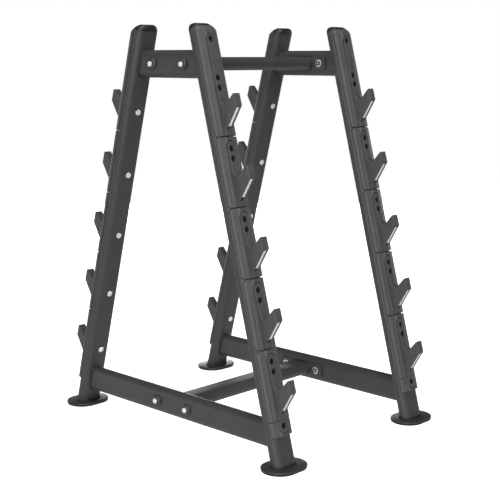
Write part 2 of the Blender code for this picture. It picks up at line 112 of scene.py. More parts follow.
# polyester powder coat baked on steel: a fine orange peel breaks up soft highlights
def makePowderCoat(name, darkHex, lightHex, roughness):
    coat = {
        "peel": 1.4 * mm,
        "peelHeight": 0.12 * mm,
        "grain": 0.5 * mm,  # drawn coarser than the powder's 0.05 mm, so that it shows
        "grainShare": 0.35,
        "cloud": 90 * mm,
        "roughnessSpread": (-0.05, 0.07),
    }
    material = newMaterial(name)
    place = addNode(material, "ShaderNodeTexCoord")
    cloud = addNode(
        material, "ShaderNodeTexNoise", Vector=(place, "Object"), Scale=1 / coat["cloud"], Detail=3.0,
        Roughness=0.55,
    )
    grain = addNode(
        material, "ShaderNodeTexNoise", Vector=(place, "Object"), Scale=1 / coat["grain"], Detail=2.0,
    )
    blend = addNode(
        material, "ShaderNodeMath", {"operation": "MULTIPLY_ADD"}, i0=(grain, "Fac"), i1=coat["grainShare"],
        i2=(cloud, "Fac"),
    )
    colour = addNode(
        material, "ShaderNodeValToRGB", {"ramp": [(0.42, darkHex), (0.95, lightHex)]}, Fac=(blend, "Value"),
    )
    smooth, rough = [roughness + spread for spread in coat["roughnessSpread"]]
    gloss = addNode(material, "ShaderNodeMapRange", Value=(grain, "Fac"), To_Min=smooth, To_Max=rough)
    peel = addNode(
        material, "ShaderNodeTexNoise", Vector=(place, "Object"), Scale=1 / coat["peel"], Detail=2.0,
    )
    bump = addNode(
        material, "ShaderNodeBump", Height=(peel, "Fac"), Strength=0.18, Distance=coat["peelHeight"],
    )
    shader = addNode(
        material, "ShaderNodeBsdfPrincipled", Base_Color=(colour, "Color"), Roughness=(gloss, "Result"),
        Normal=(bump, "Normal"), IOR=1.5,
    )
    addNode(material, "ShaderNodeOutputMaterial", Surface=(shader, "BSDF"))
    return material


# glass-filled nylon, injection moulded in a spark-eroded tool: an even fine grain, no gloss
def makeMouldedNylon(name, darkHex, lightHex, roughness):
    nylon = {
        "grain": 2.2 * mm,  # drawn coarser than the tool's 0.3 mm, so that it shows
        "grainHeight": 0.3 * mm,
        "grainShare": 0.3,
        "flow": 60 * mm,
        "roughnessSpread": (-0.06, 0.08),
    }
    material = newMaterial(name)
    place = addNode(material, "ShaderNodeTexCoord")
    flow = addNode(
        material, "ShaderNodeTexNoise", Vector=(place, "Object"), Scale=1 / nylon["flow"], Detail=4.0,
        Distortion=0.6,
    )
    grain = addNode(
        material, "ShaderNodeTexVoronoi", Vector=(place, "Object"), Scale=1 / nylon["grain"], Randomness=1.0,
    )
    blend = addNode(
        material, "ShaderNodeMath", {"operation": "MULTIPLY_ADD"}, i0=(grain, "Distance"),
        i1=nylon["grainShare"], i2=(flow, "Fac"),
    )
    colour = addNode(
        material, "ShaderNodeValToRGB", {"ramp": [(0.4, darkHex), (0.9, lightHex)]}, Fac=(blend, "Value"),
    )
    smooth, rough = [roughness + spread for spread in nylon["roughnessSpread"]]
    gloss = addNode(material, "ShaderNodeMapRange", Value=(flow, "Fac"), To_Min=smooth, To_Max=rough)
    bump = addNode(
        material, "ShaderNodeBump", Height=(grain, "Distance"), Strength=0.4, Distance=nylon["grainHeight"],
    )
    shader = addNode(
        material, "ShaderNodeBsdfPrincipled", Base_Color=(colour, "Color"), Roughness=(gloss, "Result"),
        Normal=(bump, "Normal"), IOR=1.53,
    )
    addNode(material, "ShaderNodeOutputMaterial", Surface=(shader, "BSDF"))
    return material


# natural rubber pad, pressed: dull, with a slightly dusty bloom
def makeRubber(name, darkHex, lightHex, roughness):
    rubber = {"bloom": 14 * mm, "pore": 0.8 * mm, "poreDepth": 0.15 * mm}
    material = newMaterial(name)
    place = addNode(material, "ShaderNodeTexCoord")
    bloom = addNode(
        material, "ShaderNodeTexNoise", Vector=(place, "Object"), Scale=1 / rubber["bloom"], Detail=5.0,
    )
    pore = addNode(
        material, "ShaderNodeTexNoise", Vector=(place, "Object"), Scale=1 / rubber["pore"], Detail=2.0,
    )
    colour = addNode(
        material, "ShaderNodeValToRGB", {"ramp": [(0.35, darkHex), (0.75, lightHex)]}, Fac=(bloom, "Fac"),
    )
    bump = addNode(
        material, "ShaderNodeBump", Height=(pore, "Fac"), Strength=0.3, Distance=rubber["poreDepth"],
    )
    shader = addNode(
        material, "ShaderNodeBsdfPrincipled", Base_Color=(colour, "Color"), Roughness=roughness,
        Normal=(bump, "Normal"), IOR=1.52,
    )
    addNode(material, "ShaderNodeOutputMaterial", Surface=(shader, "BSDF"))
    return material


# steel out of a plating bath, with fine drawn scratches: bright zinc, or black oxide on screws, set near black
# as painted shade in their bores
def makePlatedSteel(name, darkHex, lightHex, roughness, metallic, jointShadeHex=None):
    plate = {
        "scratch": 0.6 * mm,  # drawn coarser than the wire's 0.05 mm marks, so that it shows
        "stretch": 14,
        "scratchDepth": 0.05 * mm,
        "cloud": 6 * mm,
        "roughnessSpread": (-0.06, 0.10),
        "paintedShadeTo": 33 * mm,  # out from the upright's axis
        "paintedShadeFade": 1.5 * mm,
    }
    material = newMaterial(name)
    place = addNode(material, "ShaderNodeTexCoord")
    squeeze = addNode(material, "ShaderNodeMapping", Vector=(place, "Object"), Scale=(1, plate["stretch"], 1))
    scratch = addNode(
        material, "ShaderNodeTexNoise", Vector=(squeeze, "Vector"),
        Scale=1 / (plate["scratch"] * plate["stretch"]), Detail=4.0,
    )
    cloud = addNode(
        material, "ShaderNodeTexNoise", Vector=(place, "Object"), Scale=1 / plate["cloud"], Detail=3.0,
    )
    colour = addNode(
        material, "ShaderNodeValToRGB", {"ramp": [(0.3, darkHex), (0.7, lightHex)]}, Fac=(cloud, "Fac"),
    )
    smooth, rough = [roughness + spread for spread in plate["roughnessSpread"]]
    gloss = addNode(material, "ShaderNodeMapRange", Value=(scratch, "Fac"), To_Min=smooth, To_Max=rough)
    bump = addNode(
        material, "ShaderNodeBump", Height=(scratch, "Fac"), Strength=0.1, Distance=plate["scratchDepth"],
    )
    finish = (colour, "Color")
    if jointShadeHex:
        # near-black painted shade where it lies against the upright, so that the covers' joints show a dark
        # gap; bare from just outside its face
        cosine, sine = math.cos(layout["lean"]), math.sin(layout["lean"])
        shadeEdge = layout["footX"] * cosine + plate["paintedShadeTo"]
        split = addNode(material, "ShaderNodeSeparateXYZ", Vector=(place, "Object"))
        across = addNode(material, "ShaderNodeMath", {"operation": "ABSOLUTE"}, i0=(split, "X"))
        level = addNode(material, "ShaderNodeMath", {"operation": "MULTIPLY"}, i0=(split, "Z"), i1=sine)
        outward = addNode(
            material, "ShaderNodeMath", {"operation": "MULTIPLY_ADD"}, i0=(across, "Value"), i1=cosine,
            i2=(level, "Value"),
        )
        bare = addNode(
            material, "ShaderNodeMapRange", Value=(outward, "Value"), From_Min=shadeEdge,
            From_Max=shadeEdge + plate["paintedShadeFade"],
        )
        jointShadeMix = addNode(
            material, "ShaderNodeMix", {"data_type": "RGBA"}, i0=(bare, "Result"), i6=toLinear(jointShadeHex),
            i7=finish,
        )
        finish = (jointShadeMix, 2)
    shader = addNode(
        material, "ShaderNodeBsdfPrincipled", Base_Color=finish, Roughness=(gloss, "Result"),
        Normal=(bump, "Normal"), Metallic=metallic,
    )
    addNode(material, "ShaderNodeOutputMaterial", Surface=(shader, "BSDF"))
    return material


# white studio paper, lit through from below so that it stays white away from the lamps
def makePaper(name, darkHex, lightHex, glow):
    material = newMaterial(name)
    place = addNode(material, "ShaderNodeTexCoord")
    fibre = addNode(material, "ShaderNodeTexNoise", Vector=(place, "Object"), Scale=3.0, Detail=4.0)
    colour = addNode(
        material, "ShaderNodeValToRGB", {"ramp": [(0.3, darkHex), (0.7, lightHex)]}, Fac=(fibre, "Fac"),
    )
    shader = addNode(
        material, "ShaderNodeBsdfPrincipled", Base_Color=(colour, "Color"), Roughness=0.95, IOR=1.3,
        Emission_Color=toLinear("#ffffff"), Emission_Strength=glow,
    )
    addNode(material, "ShaderNodeOutputMaterial", Surface=(shader, "BSDF"))
    return material


# each finish: name, darker and lighter colour, roughness; for steel also how metallic it looks,
# and the colour of any painted shade on its back

# frame tubes: a soft satin sheen along their round sides
charcoalPowderCoat = makePowderCoat("charcoalPowderCoat", "#383837", "#40403e", 0.48)
# foot plates: darker, a little glossier
footPowderCoat = makePowderCoat("darkFootPowderCoat", "#272726", "#313130", 0.42)
# weld beads: a rippled bead at each joint, coloured near black as painted contact shade
weldWithPaintedShade = makePowderCoat("weldBeadWithPaintedContactShade", "#131312", "#1c1c1b", 0.55)
# cup washers: a glint on the dome
paintedCup = makePowderCoat("darkPaintedPressing", "#333331", "#3c3c3a", 0.42)
# hook covers: matt and faintly mottled, a shade lighter than the tubes
charcoalNylon = makeMouldedNylon("charcoalGlassFilledNylon", "#444442", "#4d4d4b", 0.56)
# caps: waxy black
capNylon = makeMouldedNylon("capPolyethylene", "#1a1a19", "#222221", 0.40)
# pads: a dull edge on the floor
blackRubber = makeRubber("blackRubber", "#2a2a29", "#3b3b3a", 0.82)
# bolt heads and washers: near white, the brightest spots on the rack
brightZinc = makePlatedSteel("brightZincPlatedSteel", "#f4f4f2", "#ffffff", 0.34, 0.55)
# hook strips: bright blades, with near-black painted shade where the covers' joints let the strip be seen
stripZincWithJointShade = makePlatedSteel("zincPlatedStripWithPaintedJointShade", "#f4f4f2", "#ffffff", 0.34, 0.55, "#050505")
# cover screws and hidden nuts: black oxide, made near black so that the screw heads also carry painted shade in
# their bores
blackOxideWithBoreShade = makePlatedSteel("blackOxideSteelWithPaintedBoreShade", "#0a0a0a", "#121212", 0.6, 0.35)
print("stage 2: materials made")


def arcPoints(centre, radius, start, end, steps):
    turns = [start + (end - start) * i / steps for i in range(steps + 1)]
    return [Vector((centre[0] + radius * math.cos(a), centre[1] + radius * math.sin(a))) for a in turns]


# anticlockwise outline: thickness along x, width along y
def flatOval(thickness, width, steps):
    radius = thickness / 2
    offset = width / 2 - radius
    upper = arcPoints((0, offset), radius, 0, math.pi, steps)
    lower = arcPoints((0, -offset), radius, math.pi, 2 * math.pi, steps)
    return upper + lower


# corners are (x, y, radius); the first and last corners of an open path stay sharp
def roundedPath(corners, closed=True, steps=5):
    points = []
    count = len(corners)
    for i, (x, y, radius) in enumerate(corners):
        here = Vector((x, y))
        if radius == 0 or (not closed and i in (0, count - 1)):
            points.append(here)
            continue
        u = (Vector(corners[i - 1][:2]) - here).normalized()
        v = (Vector(corners[(i + 1) % count][:2]) - here).normalized()
        half = u.angle(v) / 2
        centre = here + (u + v).normalized() * (radius / math.sin(half))
        start = here + u * (radius / math.tan(half)) - centre
        end = here + v * (radius / math.tan(half)) - centre
        first = math.atan2(start.y, start.x)
        turn = (math.atan2(end.y, end.x) - first + math.pi) % (2 * math.pi) - math.pi
        points += arcPoints(centre, radius, first, first + turn, steps)
    return points


# every point moves to the left of its path
def shifted(points, distance, closed=True):
    moved = []
    count = len(points)
    for i, point in enumerate(points):
        steps = []
        if closed or i > 0:
            steps.append(point - points[i - 1])
        if closed or i < count - 1:
            steps.append(points[(i + 1) % count] - point)
        normals = [Vector((-s.y, s.x)).normalized() for s in steps if s.length > 1e-9]
        mean = sum(normals, Vector((0, 0))).normalized()
        moved.append(point + mean * distance / max(0.6, mean.dot(normals[0])))
    return moved


# (inset, distance from the end) down a rounded rim
def roundedRim(rounding, steps):
    turns = [math.pi / 2 * i / steps for i in range(steps + 1)]
    return [(rounding * (1 - math.sin(a)), rounding * (1 - math.cos(a))) for a in turns]


# faces between successive rings of points
def loft(bm, rings, closedRing=True, capEnds=True, closedRow=False):
    rows = [[bm.verts.new(p) for p in ring] for ring in rings]
    count = len(rows[0])
    pairs = list(zip(rows, rows[1:])) + ([(rows[-1], rows[0])] if closedRow else [])
    for low, high in pairs:
        for i in range(count if closedRing else count - 1):
            j = (i + 1) % count
            bm.faces.new((low[i], low[j], high[j], high[i]))
    if capEnds:
        bm.faces.new(list(reversed(rows[0])))
        bm.faces.new(rows[-1])
    return rows


def makeMesh(name, bm, sharpAngle=38, matrix=None):
    if matrix is not None:
        bmesh.ops.transform(bm, matrix=matrix, verts=bm.verts)
    bmesh.ops.remove_doubles(bm, verts=bm.verts, dist=1e-6)
    bmesh.ops.recalc_face_normals(bm, faces=bm.faces)
    mesh = bpy.data.meshes.new(name)
    bm.to_mesh(mesh)
    bm.free()
    mesh.shade_smooth()
    mesh.set_sharp_from_angle(angle=math.radians(sharpAngle))
    return mesh


def applyCuts(mesh, tools, sharpAngle=38):
    base = bpy.data.objects.new("work", mesh)
    parts.objects.link(base)
    helpers = []
    for operation, toolMesh in tools:
        helper = bpy.data.objects.new("work", toolMesh)
        parts.objects.link(helper)
        helpers.append(helper)
        step = base.modifiers.new("cut", "BOOLEAN")
        step.operation = operation
        step.object = helper
        step.solver = "EXACT"
    bpy.context.view_layer.update()
    result = bpy.data.meshes.new_from_object(base.evaluated_get(bpy.context.evaluated_depsgraph_get()))
    for ob in [base, *helpers]:
        bpy.data.objects.remove(ob, do_unlink=True)
    result.shade_smooth()
    result.set_sharp_from_angle(angle=math.radians(sharpAngle))
    result.materials.clear()
    return result


turnedMeshes = {}


# the turn goes into the mesh and the object keeps only its place, so every piece's box is exact
def addPiece(name, mesh, material, matrix=None, replaced=()):
    matrix = matrix or Matrix.Identity(4)
    turn = matrix.to_3x3().to_4x4()
    key = (mesh.name, tuple(round(value, 6) for row in turn for value in row))
    if key not in turnedMeshes:
        turnedMeshes[key] = mesh.copy()
        turnedMeshes[key].transform(turn)
        turnedMeshes[key].materials.clear()
        turnedMeshes[key].materials.append(material)
    piece = bpy.data.objects.new(name, turnedMeshes[key])
    parts.objects.link(piece)
    piece.location = matrix.translation
    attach(piece, "root")
    if replaced:
        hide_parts(*replaced)
    return piece


def addWeightedNormals(piece):
    step = piece.modifiers.new("faceNormals", "WEIGHTED_NORMAL")
    step.keep_sharp = True
    step.weight = 60


# x outwards, y across, z up the axis of one upright
def uprightMatrix(side, end):
    turn = Matrix.Rotation(0 if sides[side] > 0 else math.pi, 4, "Z")
    spot = Matrix.Translation((sides[side] * layout["footX"], ends[end] * layout["frameY"], 0))
    return spot @ turn @ Matrix.Rotation(-layout["lean"], 4, "Y")


# z outwards from (n, s) in an upright's own frame
def outwards(n, s):
    return Matrix.Translation((n, 0, s)) @ Matrix.Rotation(math.pi / 2, 4, "Y")


def roundRod(radius, length, matrix, steps=24):
    bm = bmesh.new()
    ring = arcPoints((0, 0), radius, 0, 2 * math.pi, steps)[:-1]
    loft(bm, [[Vector((p.x, p.y, z)) for p in ring] for z in (0, length)])
    return makeMesh("rod", bm, matrix=matrix)


# rows of (radius, height) spun round z
def turned(rows, matrix=None, steps=32, sharpAngle=38):
    bm = bmesh.new()
    rings = []
    for radius, height in rows:
        ring = arcPoints((0, 0), radius, 0, 2 * math.pi, steps)[:-1]
        rings.append([Vector((p.x, p.y, height)) for p in ring])
    loft(bm, rings, closedRow=True, capEnds=False)
    return makeMesh("turned", bm, sharpAngle, matrix)


def hexBody(flats, height, chamfer, matrix=None, start=0.0):
    bm = bmesh.new()
    corner = flats / 2 / math.cos(math.pi / 6)
    rings = []
    for radius, z in ((corner, start), (corner, start + height - chamfer), (corner - chamfer, start + height)):
        rings.append([Vector((p.x, p.y, z)) for p in arcPoints((0, 0), radius, 0, 2 * math.pi, 6)[:-1]])
    loft(bm, rings)
    return makeMesh("hexagon", bm, 20, matrix)


def joined(meshes):
    bm = bmesh.new()
    for mesh in meshes:
        bm.from_mesh(mesh)
    result = bpy.data.meshes.new("group")
    bm.to_mesh(result)
    bm.free()
    result.shade_smooth()
    result.set_sharp_from_angle(angle=math.radians(32))
    return result


# the tube's section, this far inside its outer face
def ovalAt(inset):
    return flatOval(
        tubeSizes["thickness"] - 2 * inset, tubeSizes["width"] - 2 * inset, tubeSizes["arcSteps"],
    )


# where a level plane meets the upright, along its axis, at n out from it
def levelOnUpright(n, height):
    return (height - n * math.sin(layout["lean"])) / math.cos(layout["lean"])


uprightSizes = {
    "top": 1561 * mm,  # cut end, along the axis
    "boltRadius": 5.4 * mm,
}


def makeUprightMesh():
    floorCut = layout["plateTop"] + layout["gap"]

    def lowRing(inset):
        return [Vector((p.x, p.y, levelOnUpright(p.x, floorCut))) for p in ovalAt(inset)]

    def topRing(inset):
        return [Vector((p.x, p.y, uprightSizes["top"])) for p in ovalAt(inset)]

    bm = bmesh.new()
    wall = tubeSizes["wall"]
    loft(bm, [lowRing(0), topRing(0), topRing(wall), lowRing(wall)], closedRow=True, capEnds=False)
    mesh = makeMesh("uprightTube", bm)
    holes = []
    for tip in hookSizes["tips"]:
        start = outwards(-tubeSizes["thickness"], tip - hookSizes["boltDrop"])
        holes.append(("DIFFERENCE", roundRod(uprightSizes["boltRadius"], 2 * tubeSizes["thickness"], start)))
    return applyCuts(mesh, holes)


capSizes = {
    "top": 1584 * mm,
    "bendRadius": 50 * mm,  # over the outer side
    "bendStart": -12 * mm,
    "endRadius": 38 * mm,  # over the two rounded ends
    "endStart": 14 * mm,
    "plugDepth": 20 * mm,
    "plateInset": 0.4 * mm,
    "edgeRadius": 7.5 * mm,
    "edgeLoss": 4.5 * mm,  # the edge is rounder on the inner side than where it meets the cover
    "ringInsets": (0, 0.4, 1.2, 2.4, 4, 6, 8, 10, 12, 14.5, 17, 19.5, 22, 24),  # in mm
}


# how far an end has dropped away at this distance from the middle
def archBend(across, start, radius):
    over = abs(across) - start
    if over <= 0:
        return 0.0
    return radius - math.sqrt(max(0.0, radius ** 2 - over ** 2))


def outerBend(n):
    return archBend(max(0.0, n - capSizes["bendStart"]), 0, capSizes["bendRadius"])


def makeCapMesh():
    bm = bmesh.new()
    ends = capSizes["endStart"], capSizes["endRadius"]
    seat = uprightSizes["top"] + layout["gap"]
    plug = ovalAt(tubeSizes["wall"] + layout["gap"])
    rings = [[Vector((p.x, p.y, uprightSizes["top"] - capSizes["plugDepth"])) for p in plug]]
    rings.append([Vector((p.x, p.y, seat)) for p in plug])
    rings.append([Vector((p.x, p.y, seat)) for p in ovalAt(capSizes["plateInset"])])
    for inset in capSizes["ringInsets"]:
        ring = []
        for p in ovalAt(inset * mm):
            radius = capSizes["edgeRadius"] - capSizes["edgeLoss"] * p.x / (tubeSizes["thickness"] / 2)
            left = max(0.0, radius - inset * mm)
            edge = radius - math.sqrt(radius ** 2 - left ** 2)
            ring.append(Vector((p.x, p.y, capSizes["top"] - outerBend(p.x) - archBend(p.y, *ends) - edge)))
        rings.append(ring)
    loft(bm, rings)
    return makeMesh("cap", bm, 42)


hookSizes = {
    "tips": [(1306.5 - 250 * tier) * mm for tier in range(5)],  # along the upright's axis
    "pitch": 250 * mm,
    "boltDrop": 51.5 * mm,  # from the tip down to the bolt
}
coverSizes = {
    "top": 1534 * mm,  # where the top cover starts to bend over
    "bottom": 115 * mm,
    "jointAboveTip": 113 * mm,
    "jointGap": 3.2 * mm,
    "endRounding": 1.6 * mm,
    "cornerDrop": 5 * mm,  # how far a joint's two corners fall away
    "faintDrop": 0.6 * mm,  # the same at the joint above the end piece
    "cornerEnd": 46 * mm,  # across
    "fit": 0.4 * mm,  # from the tube
    # half the section in mm: how far out, how far across, corner radius
    "section": [
        (40, 16.2, 1.8), (32.3, 16.4, 0.5), (32.3, 18.6, 0.7), (35.2, 20.8, 1.6),
        (32.07, 33.1, 0), (31.82, 34.2, 0), (31.54, 35.3, 0), (29.2, 44.6, 4.5), (22.5, 48.9, 3),
    ],
    "edgeOut": 15 * mm,
    "edgeSpread": 1.5 * mm,
    "grooveAcross": (16.0 * mm, 20.8 * mm),
    "grooveLips": (39.6 * mm, 35.2 * mm),
    "creaseAcross": 34.2 * mm,
    "creaseHalf": 1.2 * mm,
    "creaseAboveTip": 12 * mm,
    "archAboveTip": 79 * mm,
    "topArch": 1515 * mm,
    "archRadii": (16.4 * mm, 20.2 * mm),
    "archDepth": 6.2 * mm,
    "lowArch": 141 * mm,  # the one that closes the groove of the end piece
    "lowArchDepth": 5 * mm,
    "lowGroove": 0.45,  # share of the groove that is cut in the end piece
    "channelHalf": 13.4 * mm,
    "channelOut": (20 * mm, 31.7 * mm),
    "channelTop": 1528 * mm,
    "channelOverrun": 20 * mm,  # past a cover's end
}


def withExtraPoints(points, longest):
    dense = []
    for a, b in zip(points, points[1:]):
        count = max(1, math.ceil((b - a).length / longest))
        dense += [a.lerp(b, k / count) for k in range(count)]
    return dense + [points[-1]]


# half the width of the tube's flat face
def flatHalf():
    return (tubeSizes["width"] - tubeSizes["thickness"]) / 2


# the cover's outer skin, from one edge on the tube's round side over the rib to the other
def coverSkin():
    fit = tubeSizes["thickness"] / 2 + coverSizes["fit"]
    edgeOut = coverSizes["edgeOut"]
    edgeHalf = flatHalf() + math.sqrt(fit ** 2 - edgeOut ** 2) + coverSizes["edgeSpread"]
    corners = [(n * mm, y * mm, radius * mm) for n, y, radius in coverSizes["section"]]
    corners.append((edgeOut, edgeHalf, 0))
    corners = [(n, -y, radius) for n, y, radius in reversed(corners)] + corners
    return withExtraPoints(roundedPath(corners, closed=False, steps=4), 4 * mm)


# the skin point's shadow on the tube, where the cover seats
def onTube(point):
    fit = tubeSizes["thickness"] / 2 + coverSizes["fit"]
    if abs(point.y) <= flatHalf():
        return Vector((fit, point.y))
    centre = Vector((0, math.copysign(flatHalf(), point.y)))
    return centre + (point - centre).normalized() * fit


# the groove beside the rib, filled in by the share that it isn't cut
def withGroove(point, depth, creaseDepth=0.0):
    across = abs(point.y)
    crease = max(0.0, coverSizes["creaseHalf"] - abs(across - coverSizes["creaseAcross"])) * creaseDepth
    if crease:
        return Vector((point.x - crease, point.y))
    inner, outer = coverSizes["grooveAcross"]
    if depth >= 1 or not inner < across < outer:
        return point
    high, low = coverSizes["grooveLips"]
    bridge = high + (across - inner) / (outer - inner) * (low - high)
    return Vector((max(point.x, bridge + (point.x - bridge) * depth), point.y))


# s of a cover's end at a point of its section
def plainEnd(level, direction, cornerDrop):
    def at(point):
        return level - direction * archBend(point.y, coverSizes["cornerEnd"] - cornerDrop, cornerDrop)
    return at


# the top cover bends over as the cap does
def domedEnd(point):
    bend = capSizes["bendRadius"]
    over = min(point.x - capSizes["bendStart"], bend)
    rise = math.sqrt(bend ** 2 - over ** 2)
    return coverSizes["top"] + rise - archBend(point.y, capSizes["endStart"], capSizes["endRadius"])


# the end piece is cut off square
def levelEnd(_):
    return coverSizes["bottom"]


def makeCoverBody(lowEnd, highEnd, grooveLevels, endSteps=5, capSteps=2):
    skin = coverSkin()
    seat = [onTube(p) for p in skin]
    rings = []

    def addRing(endAt, direction, inset, depth, away):
        outer = shifted(skin, inset, closed=False)
        outer = [withGroove(p, depth) for p in outer]
        row = [Vector((p.x, p.y, endAt(q) + direction * away)) for p, q in zip(outer, skin)]
        inner = [Vector((p.x, p.y, endAt(q) + direction * away)) for p, q in zip(seat, skin)]
        rings.append(row + list(reversed(inner)))

    lowDepth, highDepth = grooveLevels[0][1], grooveLevels[-1][1]
    rim = roundedRim(coverSizes["endRounding"], endSteps)
    for inset, away in rim:
        addRing(lowEnd, 1, inset, lowDepth, away)
    for level, depth, creaseDepth in grooveLevels:
        outer = [withGroove(p, depth, creaseDepth) for p in skin]
        rings.append([Vector((p.x, p.y, level)) for p in outer + list(reversed(seat))])
    for inset, away in reversed(rim):
        addRing(highEnd, -1, inset, highDepth, away)
    bm = bmesh.new()
    rows = loft(bm, rings, capEnds=False)
    count = len(skin)
    for row, endAt in ((rows[0], lowEnd), (rows[-1], highEnd)):
        outer = row[:count]
        inner = list(reversed(row[count:]))
        strips = [outer]
        for k in range(1, capSteps):
            share = k / capSteps
            strip = []
            for a, b in zip(outer, inner):
                spot = a.co.lerp(b.co, share)
                level = endAt(Vector((spot.x, spot.y)))
                strip.append(bm.verts.new((spot.x, spot.y, level)))
            strips.append(strip)
        strips.append(inner)
        for a, b in zip(strips, strips[1:]):
            for i in range(count - 1):
                bm.faces.new((a[i], a[i + 1], b[i + 1], b[i]))
    return makeMesh("coverBody", bm, 34)


fingerSizes = {
    "halfWidth": 16.5 * mm,
    "rounding": 2.6 * mm,
    "reach": 112 * mm,
    "nose": 113 * mm,
    "noseDrop": 46 * mm,
    "crown": 40 * mm,  # the rib's top
    "saddleRadius": 20 * mm,
    "saddleLedge": 0.8 * mm,
    "saddleSlope": math.radians(33.5),
    "undersideSlope": math.radians(44),
    "tipRadius": 2.2 * mm,
    "noseRadius": 5.0 * mm,
    "root": 34.5 * mm,
}


# the finger is drawn in the plane (out, up from its tip)
def saddleLine(n):
    return (n - fingerSizes["reach"]) * math.tan(fingerSizes["saddleSlope"])


def undersideLine(n):
    return -fingerSizes["noseDrop"] - (fingerSizes["nose"] - n) * math.tan(fingerSizes["undersideSlope"])


def saddleCentre():
    n = fingerSizes["crown"] + fingerSizes["saddleLedge"] + fingerSizes["saddleRadius"]
    return n, saddleLine(n) + fingerSizes["saddleRadius"] / math.cos(fingerSizes["saddleSlope"])


def inPlane(point, y, tip):
    return Vector((point.x, y, tip + point.y))


def makeFinger(tip):
    centre = saddleCentre()
    saddleWall = fingerSizes["crown"] + fingerSizes["saddleLedge"]
    root = fingerSizes["root"]
    arc = arcPoints(
        centre, fingerSizes["saddleRadius"], math.pi, 1.5 * math.pi + fingerSizes["saddleSlope"], 12,
    )
    nose = roundedPath(
        [
            (arc[-1].x, arc[-1].y, 0),
            (fingerSizes["reach"], saddleLine(fingerSizes["reach"]), fingerSizes["tipRadius"]),
            (fingerSizes["nose"], -fingerSizes["noseDrop"], fingerSizes["noseRadius"]),
            (root, undersideLine(root), 0),
        ],
        closed=False,
    )
    outline = [Vector((root, centre[1])), Vector((saddleWall, centre[1]))] + arc[1:] + nose[1:]
    half = fingerSizes["halfWidth"]
    rim = [(inset, away - half) for inset, away in roundedRim(fingerSizes["rounding"], 5)]
    rings = []
    for inset, y in rim + [(inset, -y) for inset, y in reversed(rim)]:
        # the outline runs clockwise seen from -y, so its inside is on the right
        rings.append([inPlane(p, y, tip) for p in shifted(outline, -inset)])
    bm = bmesh.new()
    loft(bm, rings)
    return makeMesh("finger", bm)


slotSizes = {
    "width": 13.8 * mm,
    "covering": 4.6 * mm,
    "drop": 114 * mm,  # from the tip to the slot's lower end
    "below": 6 * mm,  # how far the cutter stands out of the underside
}


def prismInPlane(outline, half, tip):
    bm = bmesh.new()
    loft(bm, [[inPlane(p, y, tip) for p in outline] for y in (-half, half)])
    return makeMesh("slot", bm)


def makeSlotCutter(tip):
    slope = fingerSizes["saddleSlope"]
    cover = slotSizes["covering"]
    inside = tubeSizes["thickness"] / 2 - 5 * mm
    top = saddleCentre()[1] - fingerSizes["saddleRadius"] - cover
    bend = fingerSizes["reach"] + (top + cover / math.cos(slope)) / math.tan(slope)
    front = fingerSizes["reach"] - cover
    below = slotSizes["below"]
    fall = slotSizes["drop"] - fingerSizes["noseDrop"]
    endN = fingerSizes["nose"] - fall / math.tan(fingerSizes["undersideSlope"])
    outline = [
        Vector((inside, top)), Vector((bend, top)),
        Vector((front, saddleLine(front) - cover / math.cos(slope))),
        Vector((front, undersideLine(front) - below)),
        Vector((endN, -slotSizes["drop"] - below)), Vector((endN, -slotSizes["drop"])),
        Vector((inside, -slotSizes["drop"])),
    ]
    return prismInPlane(outline, slotSizes["width"] / 2, tip)


screwSizes = {
    "rises": (33.5 * mm, 69.5 * mm),  # above the tip
    "topScrew": 1514 * mm,
    "lowScrew": 150 * mm,
    "boreRadius": 11.2 * mm,
    "boreDepth": 8 * mm,
    "boreRim": 0.6 * mm,
    "headRadius": 9.4 * mm,
    "headHeight": 2.8 * mm,
    "socketFlats": 5 * mm,
    "shankRadius": 2.5 * mm,
}


def makeBoreCutter(s):
    rim = screwSizes["boreRim"]
    bore = screwSizes["boreRadius"]
    floor = fingerSizes["crown"] - screwSizes["boreDepth"]
    crown = fingerSizes["crown"]
    rows = [
        (0.01 * mm, floor), (bore - 0.5 * mm, floor), (bore, floor + 0.5 * mm), (bore, crown - rim),
        (bore + rim, crown), (bore + 2 * rim, crown + 2 * rim), (0.01 * mm, crown + 2 * rim),
    ]
    return turned(rows, Matrix.Translation((0, 0, s)) @ Matrix.Rotation(math.pi / 2, 4, "Y"))


def makeShankCutter(s):
    start = outwards(tubeSizes["thickness"] / 2 - 5 * mm, s)
    length = fingerSizes["crown"] - screwSizes["boreDepth"] / 2 - tubeSizes["thickness"] / 2 + 5 * mm
    return roundRod(screwSizes["shankRadius"] + 0.4 * mm, length, start, 16)


# a channel for the steel strip behind the covers
def makeChannelCutter(low, high):
    bm = bmesh.new()
    half = coverSizes["channelHalf"]
    inner, outer = coverSizes["channelOut"]
    corners = [(inner, -half), (outer, -half), (outer, half), (inner, half)]
    loft(bm, [[Vector((n, y, s)) for n, y in corners] for s in (low, high)])
    return makeMesh("channel", bm)


# the arch that closes the rib's two grooves: direction 1 at the top, -1 at the bottom
def makeArchCutter(s, direction, depth):
    inner, outer = coverSizes["archRadii"]
    turn = [0, math.pi] if direction > 0 else [math.pi, 2 * math.pi]
    outline = arcPoints((0, 0), outer, *turn, 20) + list(reversed(arcPoints((0, 0), inner, *turn, 20)))
    bm = bmesh.new()
    floor = fingerSizes["crown"] - depth
    rings = []
    for n in (floor, fingerSizes["crown"] + 4 * mm):
        rings.append([Vector((n, p.x, s + p.y)) for p in outline])
    loft(bm, rings)
    return makeMesh("arch", bm)


def screwPlaces(tier):
    places = [hookSizes["tips"][tier] + rise for rise in screwSizes["rises"]]
    return places + ([screwSizes["topScrew"]] if tier == 0 else [])


